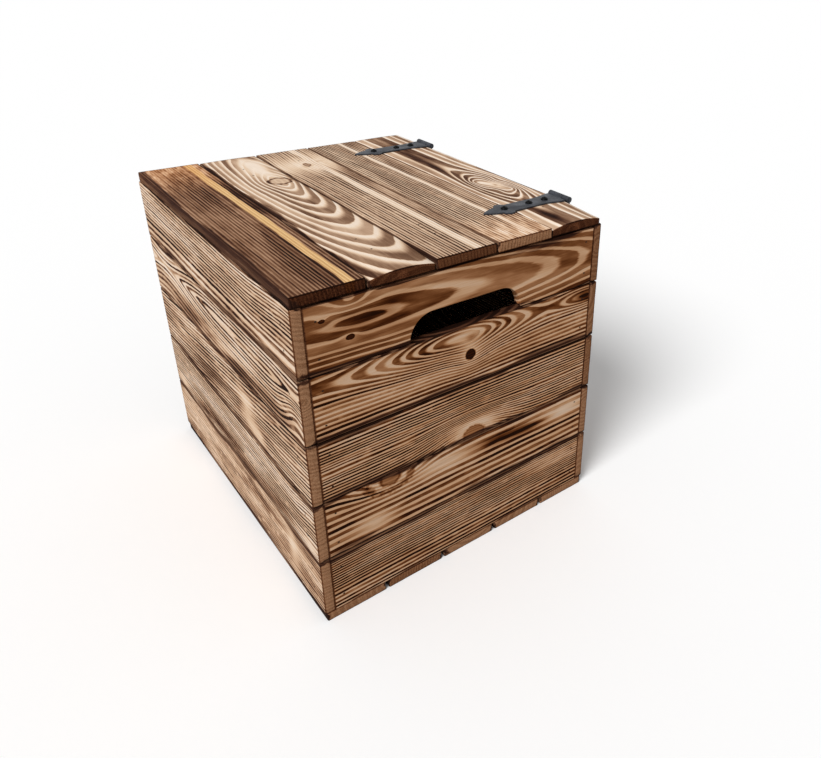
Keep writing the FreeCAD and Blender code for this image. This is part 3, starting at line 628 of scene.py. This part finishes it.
def boardOf(node, number, finish):
    # the board's place from the frame, and its figure and knots: its own, or drawn by its number
    family = node if node in directions else node.rsplit("_", 1)[0]
    along, outward = Vector(directions[family]["along"]), Vector(directions[family]["outward"])
    across = along.cross(outward)
    low, high = (Vector(corner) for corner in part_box(node))
    size = high - low
    half = Vector((abs(size.dot(across)), abs(size.dot(along)), abs(size.dot(outward)))) / 2
    if node in boardFigures:
        given = boardFigures[node]
    elif finish == "plain_pine":
        given = drawPlainPine(number)
    else:
        given = drawFlamedPine(number, half / mm)
    figure = {label: value for label, value in given.items() if label in figureInputs}
    marks = [
        {"Spot": row[:2], "Reach": row[2:4], effect: row[4]}
        for mark, effect in markEffects.items() for row in given.get(mark, ())
    ]
    return {
        "node": node, "along": along, "outward": outward, "across": across, "centre": (low + high) / 2,
        "half": half, "figure": {"Seed": float(number)} | figure, "knots": given.get("knots", []) + marks,
    }


# Board shape, millimetres: a sawn outline that wanders a little, corners and edges worn round by the brush.
boardWear = {
    "edgeRound": 0.5, "edgeSteps": 4, "uneven": 0.7, "cornerRound": 1.4, "cornerSteps": 4, "wander": 0.12,
    "step": 6.0, "skin": 0.08, "unevenSize": (11, 23), "seedStep": 7.3, "wearShift": (9, 4, 2),
    "wearScale": 1.7,
}
handHole = {"width": 123.0, "height": 25.0, "corner": 24.0, "arcSteps": 12, "lip": 1.0}


def boardOutline(board, hole=None):
    # closed outline in (across, along), millimetres, counter-clockwise, with rounded corners
    half = board["half"] / mm
    corner = boardWear["cornerRound"]
    bends = [(half.x, -half.y), (half.x, half.y), (-half.x, half.y)]
    rounds = [corner] * 3
    if hole is not None:
        side, top = hole["width"] / 2, hole["height"] - half.x
        bends += [(-half.x, side), (top, side), (top, -side), (-half.x, -side)]
        rounds += [hole["lip"], hole["corner"], hole["corner"], hole["lip"]]
    bends.append((-half.x, -half.y))
    rounds.append(corner)
    points = []
    for number, (bend, radius) in enumerate(zip(bends, rounds)):
        here = Vector(bend)
        back = (Vector(bends[number - 1]) - here).normalized()
        ahead = (Vector(bends[(number + 1) % len(bends)]) - here).normalized()
        middle = here + (back + ahead) * radius
        steps = handHole["arcSteps"] if radius > corner else boardWear["cornerSteps"]
        for step in range(steps + 1):
            angle = step / steps * math.pi / 2
            points.append(middle - ahead * radius * math.cos(angle) - back * radius * math.sin(angle))
    outline = []
    for number, point in enumerate(points):
        ahead = points[(number + 1) % len(points)] - point
        parts = max(1, round(ahead.length / boardWear["step"]))
        outline += [point + ahead * part / parts for part in range(parts)]
    return outline


# Cupped lid boards, millimetres: the drop of the upper face's long edges at the near end and its reach.
boardCup = {
    "drops": {"lid_board_2": 4.0, "lid_board_5": 3.8}, "reach": 65.0, "farShare": 0.12, "bend": 2.0,
    "cuts": {"across": 10, "along": 30},
}


def cupBoard(mesh, board):
    # cuts the faces across and along, then lowers the upper face towards its long edges
    half = board["half"] / mm
    for way, reach in (("across", half.x), ("along", half.y)):
        cuts = boardCup["cuts"][way]
        for cut in range(1, cuts):
            middle = board["centre"] + board[way] * (2 * cut / cuts - 1) * reach * mm
            everything = mesh.verts[:] + mesh.edges[:] + mesh.faces[:]
            bmesh.ops.bisect_plane(mesh, geom=everything, plane_co=middle, plane_no=board[way])
    for vert in mesh.verts:
        place = (vert.co - board["centre"]) / mm
        if place.dot(board["outward"]) < 0:
            continue
        near = max(0.0, 1.0 - (place.dot(board["along"]) + half.y) / boardCup["reach"])
        share = boardCup["farShare"] + (1 - boardCup["farShare"]) * near * near * (3 - 2 * near)
        aside = min(1.0, abs(place.dot(board["across"])) / half.x) ** boardCup["bend"]
        vert.co -= board["outward"] * boardCup["drops"][board["node"]] * share * aside * mm
    for face in mesh.faces:
        face.smooth = True


def makeBoardMesh(board, seed, hole=None):
    # rings of the outline from the outer face, round the worn edges, to the inner face
    outline = boardOutline(board, hole)
    total = len(outline)
    thick = board["half"].z / mm - boardWear["skin"]
    turns = [step / boardWear["edgeSteps"] * math.pi / 2 for step in range(boardWear["edgeSteps"] + 1)]
    profile = [(1 - math.sin(turn), 1 - math.cos(turn)) for turn in turns]
    levels = [(inset, thick, -drop) for inset, drop in profile]
    levels += [(inset, -thick, drop) for inset, drop in reversed(profile)]
    across, along = boardWear["unevenSize"]
    inward = []
    wander = []
    wear = []
    for number, point in enumerate(outline):
        ahead = (outline[(number + 1) % total] - outline[number - 1]).normalized()
        inward.append(Vector((-ahead.y, ahead.x)))
        spot = Vector((point.x / across, point.y / along, seed * boardWear["seedStep"]))
        wander.append(boardWear["wander"] * (0.5 + 0.5 * noise.noise(spot)))
        rubbed = noise.noise(spot * boardWear["wearScale"] + Vector(boardWear["wearShift"]))
        wear.append(boardWear["edgeRound"] * (1.0 + boardWear["uneven"] * rubbed))
    mesh = bmesh.new()
    rings = []
    for inset, level, drop in levels:
        ring = []
        for number, point in enumerate(outline):
            at = point + inward[number] * (wander[number] + inset * wear[number])
            place = board["across"] * at.x + board["along"] * at.y
            place += board["outward"] * (level + drop * wear[number])
            ring.append(mesh.verts.new(place * mm + board["centre"]))
        rings.append(ring)
    for upper, lower in zip(rings, rings[1:]):
        for number in range(total):
            after = (number + 1) % total
            side = mesh.faces.new((upper[number], lower[number], lower[after], upper[after]))
            side.smooth = True
    mesh.faces.new(rings[0])
    mesh.faces.new(list(reversed(rings[-1])))
    if board["node"] in boardCup["drops"]:
        cupBoard(mesh, board)
    bmesh.ops.recalc_face_normals(mesh, faces=mesh.faces)
    data = bpy.data.meshes.new(board["node"])
    mesh.to_mesh(data)
    mesh.free()
    return data


def addPiece(node, ending, data):
    # a piece that stands for a node, on the node's body
    piece = bpy.data.objects.new(node + ending, data)
    scene.collection.objects.link(piece)
    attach(piece, bodyOf[node])
    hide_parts(node)


bodyOf = {}
for bodyName, members in frame["record"]["behaviour"]["bodies"].items():
    for member in members:
        bodyOf[member] = bodyName
slotOf = {part["node"]: part["material_slot"] for part in frame["record"]["subparts"]}
pineNames = {"flamed_pine": "flamedBrushedPine_", "plain_pine": "sawnPine_"}
boardNodes = [node for node in sorted(slotOf) if slotOf[node] in pineNames]
for number, node in enumerate(boardNodes, start=1):
    board = boardOf(node, number, slotOf[node])
    hole = handHole if node in ("right_end_board_1", "left_end_board_1") else None
    data = makeBoardMesh(board, number, hole)
    data.materials.append(makePine(pineNames[slotOf[node]] + node, board))
    addPiece(node, "_wood", data)
print("boards:", len(boardNodes))

# Hinge metal, each finish by its own values: coat colour, sheen, and the pebbles of the coat in millimetres.
hingeFinishes = {
    # black powder-coated steel, stamped: a satin slate skin, finely pebbled, rubbed a little paler in places
    "blackPowderCoatedSteel": {
        "coat": "#26282e", "rubbed": "#383b42", "rough": (0.46, 0.6), "pebble": 0.9, "wear": 14.0,
        "relief": 0.05, "metallic": 0.0, "shine": 0.3,
    },
    # black-oxide steel, cold-headed: near black and a little glossy, so the domes show one small highlight
    "blackOxideScrewSteel": {
        "coat": "#060607", "rubbed": "#0c0d0f", "rough": (0.34, 0.46), "pebble": 0.6, "wear": 4.0,
        "relief": 0.02, "metallic": 0.0, "shine": 0.06,
    },
    # torch-blued brad steel, cut and driven: dull dark brown metal, flush with the scorched wood
    "torchBluedBradSteel": {
        "coat": "#1e1510", "rubbed": "#33261d", "rough": (0.55, 0.75), "pebble": 0.3, "wear": 1.5,
        "relief": 0.02, "metallic": 0.3, "shine": 0.1,
    },
}
metalSkin = {"pebbleDetail": 2.0, "wearDetail": 4.0, "rubbedEdge": (0.42, 0.68), "bump": 0.5}


def makeHingeFinish(name):
    finish = hingeFinishes[name]
    material, tree, place = newMaterial(name)
    put = functools.partial(addNode, tree)
    pebble, worn = (
        put("noise", {
            "Vector": place, "Scale": 1 / finish[pattern], "Detail": metalSkin[pattern + "Detail"],
        })
        for pattern in ("pebble", "wear")
    )
    rubbed = put("smooth range", (worn, *metalSkin["rubbedEdge"]))
    tone = put("colour mix", {0: rubbed, 6: linear(finish["coat"]), 7: linear(finish["rubbed"])})
    least, most = finish["rough"]
    rough = put("range", (worn, 0.0, 1.0, most, least))
    skin = put("ShaderNodeBump", {
        "Height": pebble, "Strength": metalSkin["bump"], "Distance": finish["relief"] * mm,
    })
    shader = put("ShaderNodeBsdfPrincipled", {
        "Base Color": tone.outputs[2], "Roughness": rough, "Normal": skin, "Metallic": finish["metallic"],
        "Specular IOR Level": finish["shine"],
    })
    put("ShaderNodeOutputMaterial", {"Surface": shader})
    return material


blackHingeSteel = makeHingeFinish("blackPowderCoatedSteel")
blackScrewSteel = makeHingeFinish("blackOxideScrewSteel")
bradSteel = makeHingeFinish("torchBluedBradSteel")

# Screws, millimetres: reach of each from the pin line along the strap, and their spread on the wall leaf.
hingeScrews = {
    "pinLine": 165.8, "hingeSpacing": 130.5, "reaches": (22.0, 43.0, 75.0),
    "strapTop": 341.6, "leafFace": 166.6, "leafSpread": 10.5, "leafHeight": 313.8,
}

# Hinge straps and leaves, millimetres and degrees: the stamped plates with their sharp edges eased.
hingePlates = {"ease": 0.25, "easeSteps": 2, "easeRound": 0.5, "sharp": 28.0, "flat": 0.5, "merge": 0.004}


def easedPlate(node):
    # the node's own mesh, cleaned, with its sharp edges rounded off
    mesh = bmesh.new()
    mesh.from_mesh(bpy.data.objects[node].data)
    bmesh.ops.remove_doubles(mesh, verts=mesh.verts, dist=hingePlates["merge"] * mm)
    flat = math.radians(hingePlates["flat"])
    bmesh.ops.dissolve_limit(mesh, angle_limit=flat, verts=mesh.verts, edges=mesh.edges)
    sharp = math.radians(hingePlates["sharp"])
    bmesh.ops.bevel(
        mesh, geom=[edge for edge in mesh.edges if edge.calc_face_angle(0.0) > sharp],
        offset=hingePlates["ease"] * mm, segments=hingePlates["easeSteps"],
        profile=hingePlates["easeRound"], affect="EDGES", clamp_overlap=True,
    )
    for face in mesh.faces:
        face.smooth = True
    data = bpy.data.meshes.new(node)
    mesh.to_mesh(data)
    mesh.free()
    data.set_sharp_from_angle(angle=sharp)
    return data


for node in ("hinge_strap_1", "hinge_strap_2", "hinge_leaf_1", "hinge_leaf_2"):
    data = easedPlate(node)
    data.materials.append(blackHingeSteel)
    addPiece(node, "_steel", data)
for node in ("hinge_pin_1", "hinge_pin_2"):
    for slot in bpy.data.objects[node].material_slots:
        slot.material = blackHingeSteel
print("hinges: 2 straps, 2 leaves, 2 pins")


def placeFasteners(node, places, tree, given):
    # one mesh of all the fasteners of a node, made by its tree of Geometry Nodes at the given places
    seeds = bpy.data.meshes.new(node + "_places")
    seeds.from_pydata([Vector(place) * mm for place in places], [], [])
    maker = bpy.data.objects.new(node + "_places", seeds)
    scene.collection.objects.link(maker)
    modifier = maker.modifiers.new(node, "NODES")
    modifier.node_group = tree
    for item in tree.interface.items_tree:
        if item.in_out == "INPUT" and item.name in given:
            modifier[item.identifier] = given[item.name]
    view = bpy.context.evaluated_depsgraph_get()
    data = bpy.data.meshes.new_from_object(maker.evaluated_get(view))
    maker.modifiers.remove(modifier)
    bpy.data.objects.remove(maker)
    data.name = node
    addPiece(node, "_metal", data)


def startFasteners(name, sizes):
    # a tree that takes the places, the sizes of one fastener in millimetres, where it faces and its finish
    inputs = {"Geometry": "NodeSocketGeometry"}
    for label, size in sizes.items():
        inputs[label] = tuple(side * mm for side in size) if isinstance(size, tuple) else size * mm
    inputs |= {"Facing": (0, 0, 1), "Spin": 0.0, "Seed": 1, "Finish": "NodeSocketMaterial"}
    tree = newGroup(name, "GeometryNodeTree", inputs, {"Geometry": "NodeSocketGeometry"})
    return tree, tree.nodes.new("NodeGroupInput").outputs, addNode(tree, "GeometryNodeInputPosition")


def endFasteners(tree, entry, part):
    # stands the part on each place, facing out, with its own small turn, and gives it its finish
    put = functools.partial(addNode, tree)
    upright = put("FunctionNodeAlignRotationToVector", {"Vector": entry["Facing"]}, axis="Z")
    spin = put("FunctionNodeRandomValue", {
        "Seed": entry["Seed"], 3: entry["Spin"],
    }, data_type="FLOAT")
    turn = put("join", {"Z": spin.outputs[1]})
    turn = put("FunctionNodeEulerToRotation", (turn,))
    turned = put("FunctionNodeRotateRotation", {
        "Rotation": upright, "Rotate By": turn,
    }, rotation_space="LOCAL")
    placed = put("GeometryNodeInstanceOnPoints", {
        "Points": entry["Geometry"], "Instance": part, "Rotation": turned,
    })
    placed = put("GeometryNodeRealizeInstances", {"Geometry": placed})
    shaded = put("GeometryNodeSetShadeSmooth", {"Geometry": placed})
    finished = put("GeometryNodeSetMaterial", {"Geometry": shaded, "Material": entry["Finish"]})
    put("NodeGroupOutput", {"Geometry": finished})


# One screw and one brad, millimetres.
screwSizes = {
    "Head width": 7.6, "Head height": 2.6, "Recess width": 1.0, "Recess span": 3.8, "Recess depth": 1.1,
    "Shank width": 3.4, "Shank length": 8.0,
}
screwShape = {"head": {"Segments": 28, "Rings": 18}, "shankSides": 20, "spin": 1.5}
bradSizes = {"Brad size": (1.8, 1.4, 10.0), "Dish": 0.06, "Dish reach": 0.6}
bradShape = {
    "bar": {"Vertices X": 3, "Vertices Y": 3, "Vertices Z": 6}, "pointShare": 0.4, "pointFrom": -0.55,
    "spin": 0.12,
}


def makeScrewTree():
    # dome head with a cross recess, and the shank below it
    tree, entry, spot = startFasteners("domeScrews", screwSizes)
    put = functools.partial(addNode, tree)
    at = put("split", (spot,)).outputs
    radius = put("multiply", (entry["Head width"], 0.5))
    ball = put("GeometryNodeMeshUVSphere", {"Radius": radius} | screwShape["head"])
    lifted = put("maximum", (at["Z"], 0.0))
    flatter = put("divide", (entry["Head height"], radius))
    height = put("multiply", (lifted, flatter))
    domed = put("join", (at["X"], at["Y"], height))
    dome = put("GeometryNodeSetPosition", {"Geometry": ball, "Position": domed})
    deep = put("multiply", (entry["Recess depth"], 2.0))
    atTop = put("join", {"Z": entry["Head height"]})
    cross = put("GeometryNodeMeshBoolean", {"Mesh 1": dome}, operation="DIFFERENCE", solver="EXACT")
    for wide, long in (("Recess width", "Recess span"), ("Recess span", "Recess width")):
        bar = put("join", (entry[wide], entry[long], deep))
        bar = put("GeometryNodeMeshCube", {"Size": bar})
        bar = put("GeometryNodeTransform", {"Geometry": bar, "Translation": atTop})
        tree.links.new(bar.outputs[0], cross.inputs["Mesh 2"])
    thin = put("multiply", (entry["Shank width"], 0.5))
    shank = put("GeometryNodeMeshCylinder", {
        "Vertices": screwShape["shankSides"], "Radius": thin, "Depth": entry["Shank length"],
    })
    below = put("multiply", (entry["Shank length"], -0.5))
    below = put("join", {"Z": below})
    shank = put("GeometryNodeTransform", {"Geometry": shank, "Translation": below})
    both = put("GeometryNodeJoinGeometry")
    tree.links.new(cross.outputs["Mesh"], both.inputs[0])
    tree.links.new(shank.outputs[0], both.inputs[0])
    endFasteners(tree, entry, both)
    return tree


def makeBradTree():
    # a cut brad: small flat head, dished by the punch, on a shank that narrows to its point
    tree, entry, spot = startFasteners("flushBrads", bradSizes)
    put = functools.partial(addNode, tree)
    at = put("split", (spot,)).outputs
    long = put("split", (entry["Brad size"],)).outputs["Z"]
    bar = put("GeometryNodeMeshCube", {"Size": entry["Brad size"]} | bradShape["bar"])
    down = put("multiply", (long, -0.5))
    down = put("join", {"Z": down})
    bar = put("GeometryNodeTransform", {"Geometry": bar, "Translation": down})
    depth = put("divide", (at["Z"], long))
    narrow = put("range", (depth, -1.0, bradShape["pointFrom"], bradShape["pointShare"], 1.0))
    wide = put("multiply", (at["X"], narrow))
    deep = put("multiply", (at["Y"], narrow))
    middle = put("vector multiply", ((1, 1, 0), spot))
    middle = put("vector length", (middle,)).outputs["Value"]
    sunk = put("range", (middle, 0.0, entry["Dish reach"], entry["Dish"], 0.0))
    level = put("subtract", (at["Z"], sunk))
    shaped = put("join", (wide, deep, level))
    brad = put("GeometryNodeSetPosition", {"Geometry": bar, "Position": shaped})
    endFasteners(tree, entry, brad)
    return tree


screwTree = makeScrewTree()
bothHinges = (-hingeScrews["hingeSpacing"], hingeScrews["hingeSpacing"])
strapPlaces = [
    (hingeScrews["pinLine"] - reach, middle, hingeScrews["strapTop"])
    for middle in bothHinges for reach in hingeScrews["reaches"]
]
leafPlaces = [
    (hingeScrews["leafFace"], middle + side * hingeScrews["leafSpread"], hingeScrews["leafHeight"])
    for middle in bothHinges for side in (-1, 1)
]
strapShank = hingeScrews["strapTop"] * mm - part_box("strap_screws")[0][2]
leafShank = hingeScrews["leafFace"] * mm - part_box("leaf_screws")[0][0]
bothScrews = {"Spin": screwShape["spin"], "Finish": blackScrewSteel}
placeFasteners("strap_screws", strapPlaces, screwTree, bothScrews | {
    "Facing": (0.0, 0.0, 1.0), "Shank length": strapShank, "Seed": 3,
})
placeFasteners("leaf_screws", leafPlaces, screwTree, bothScrews | {
    "Facing": (1.0, 0.0, 0.0), "Shank length": leafShank, "Seed": 8,
})

# Brads, millimetres: two in each board end, on the line of the post, batten or wall behind it. Each row has
# the axis the boards lie side by side on, the line from the middle, and the pair's spread across and along.
bradRows = {
    "front_board": {"stack": 2, "line": 175.0, "spread": (12.0, 0.0)},
    "right_end_board": {"stack": 2, "line": 145.0, "spread": (17.0, 0.0)},
    "floor_slat": {"stack": 0, "line": 190.0, "spread": (18.0, 0.0)},
    "lid_board": {"stack": 0, "line": 130.5, "spread": (0.0, 14.0)},
}
# Each node's heads: the boards whose rows they follow, the axis they face along, and which way.
bradWalls = {
    "front_wall_brads": ("front_board", 0, -1), "back_wall_brads": ("front_board", 0, 1),
    "right_end_brads": ("right_end_board", 1, -1), "left_end_brads": ("right_end_board", 1, 1),
    "floor_brads": ("floor_slat", 2, -1), "lid_brads": ("lid_board", 2, 1),
}


def bradSpots(family):
    # the brads of a family's five boards, in the two axes of their faces
    stack, line, spread = (bradRows[family][name] for name in ("stack", "line", "spread"))
    for number in range(1, 6):
        low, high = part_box(family + "_" + str(number))
        middle = (low[stack] + high[stack]) / 2 / mm
        for end in (-1, 1):
            for side in (-1, 1):
                spot = (middle + side * spread[0], end * line + side * spread[1])
                yield spot if stack == 0 else spot[::-1]


bradTree = makeBradTree()
bradCount = 0
for seed, (node, (family, axis, way)) in enumerate(sorted(bradWalls.items()), start=11):
    low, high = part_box(node)
    level = (high if way > 0 else low)[axis] / mm
    places = [spot[:axis] + (level,) + spot[axis:] for spot in bradSpots(family)]
    headLong, headWide = bradSizes["Brad size"][:2]
    placeFasteners(node, places, bradTree, {
        "Facing": tuple(float(way * (at == axis)) for at in range(3)),
        "Brad size": (headLong * mm, headWide * mm, high[axis] - low[axis]),
        "Spin": bradShape["spin"], "Seed": seed, "Finish": bradSteel,
    })
    bradCount += len(places)
print("fasteners:", len(strapPlaces) + len(leafPlaces), "screws,", bradCount, "brads")

# Camera: fitted to the box's edges in the photograph, millimetres and pixels.
photoCamera = {
    "imageSize": (821, 758),
    "focalPixels": 739.0,
    "principalPoint": (531.3, 305.0),
    "eye": (-350.3, -681.5, 585.6),
    "forward": (0.58966632, 0.67395598, -0.44505839),
    "right": (0.76369163, -0.64459239, 0.03571741),
    "sensorWidth": 36.0,
    "nearest": 10.0,
}


def addCamera(settings):
    wide, high = settings["imageSize"]
    across, down = settings["principalPoint"]
    data = bpy.data.cameras.new("photoCamera")
    data.sensor_fit = "HORIZONTAL"
    data.sensor_width = settings["sensorWidth"]
    data.lens = settings["focalPixels"] / wide * settings["sensorWidth"]
    data.shift_x = (wide / 2 - across) / wide
    data.shift_y = (down - high / 2) / wide
    data.clip_start = settings["nearest"] * mm
    back = -Vector(settings["forward"]).normalized()
    right = Vector(settings["right"]).normalized()
    up = back.cross(right)
    turn = Matrix((right, up, back)).transposed().to_4x4()
    camera = bpy.data.objects.new("photoCamera", data)
    camera.matrix_world = Matrix.Translation(Vector(settings["eye"]) * mm) @ turn
    scene.collection.objects.link(camera)
    scene.camera = camera


addCamera(photoCamera)
print("camera set")

# Studio, metres and degrees: pale floor, one wide soft sun from the front left, and a white room.
studio = {
    "floorSize": 40.0, "floorColour": "#ffffff", "floorBounce": "#8c8781",
    "sunFrom": (-0.76, -0.28, 0.74), "sunStrength": 2.7, "sunWidth": 28.0, "sunColour": "#ffffff",
    "roomLight": 0.42, "roomColour": "#ffffff",
}


def seenDirectly(tree):
    # 1 where the eye sees a surface itself, in a mirror or through glass, 0 for the light it throws on others
    rays = addNode(tree, "ShaderNodeLightPath").outputs
    seen = addNode(tree, "maximum", (rays["Is Camera Ray"], rays["Is Glossy Ray"]))
    return addNode(tree, "maximum", (seen, rays["Is Transmission Ray"]))


def addStudio(settings):
    reach = settings["floorSize"] / 2
    corners = [(-reach, -reach, 0), (reach, -reach, 0), (reach, reach, 0), (-reach, reach, 0)]
    floorMesh = bpy.data.meshes.new("floor")
    floorMesh.from_pydata(corners, [], [(0, 1, 2, 3)])
    floor = bpy.data.objects.new("floor", floorMesh)
    scene.collection.objects.link(floor)
    paper = bpy.data.materials.new("matteWhitePaper")
    paper.use_nodes = True
    tree = paper.node_tree
    tree.nodes.clear()
    tone = addNode(tree, "colour mix", {
        0: seenDirectly(tree), 6: linear(settings["floorBounce"]), 7: linear(settings["floorColour"]),
    })
    surface = addNode(tree, "ShaderNodeBsdfDiffuse", {"Color": tone.outputs[2]})
    addNode(tree, "ShaderNodeOutputMaterial", {"Surface": surface})
    floorMesh.materials.append(paper)

    sun = bpy.data.lights.new("sun", "SUN")
    sun.energy = settings["sunStrength"]
    sun.angle = math.radians(settings["sunWidth"])
    sun.color = linear(settings["sunColour"])[:3]
    lamp = bpy.data.objects.new("sun", sun)
    lamp.rotation_euler = Vector(settings["sunFrom"]).to_track_quat("Z", "Y").to_euler()
    scene.collection.objects.link(lamp)

    world = bpy.data.worlds.new("whiteRoom")
    scene.world = world
    world.use_nodes = True
    tree = world.node_tree
    tree.nodes.clear()
    room = addNode(tree, "ShaderNodeBackground", (linear(settings["roomColour"]), settings["roomLight"]))
    white = addNode(tree, "ShaderNodeBackground", (linear(settings["roomColour"]), 1.0))
    both = addNode(tree, "ShaderNodeMixShader", (seenDirectly(tree), room, white))
    addNode(tree, "ShaderNodeOutputWorld", {"Surface": both})


addStudio(studio)
scene.view_settings.view_transform = "Standard"
print("studio lit")
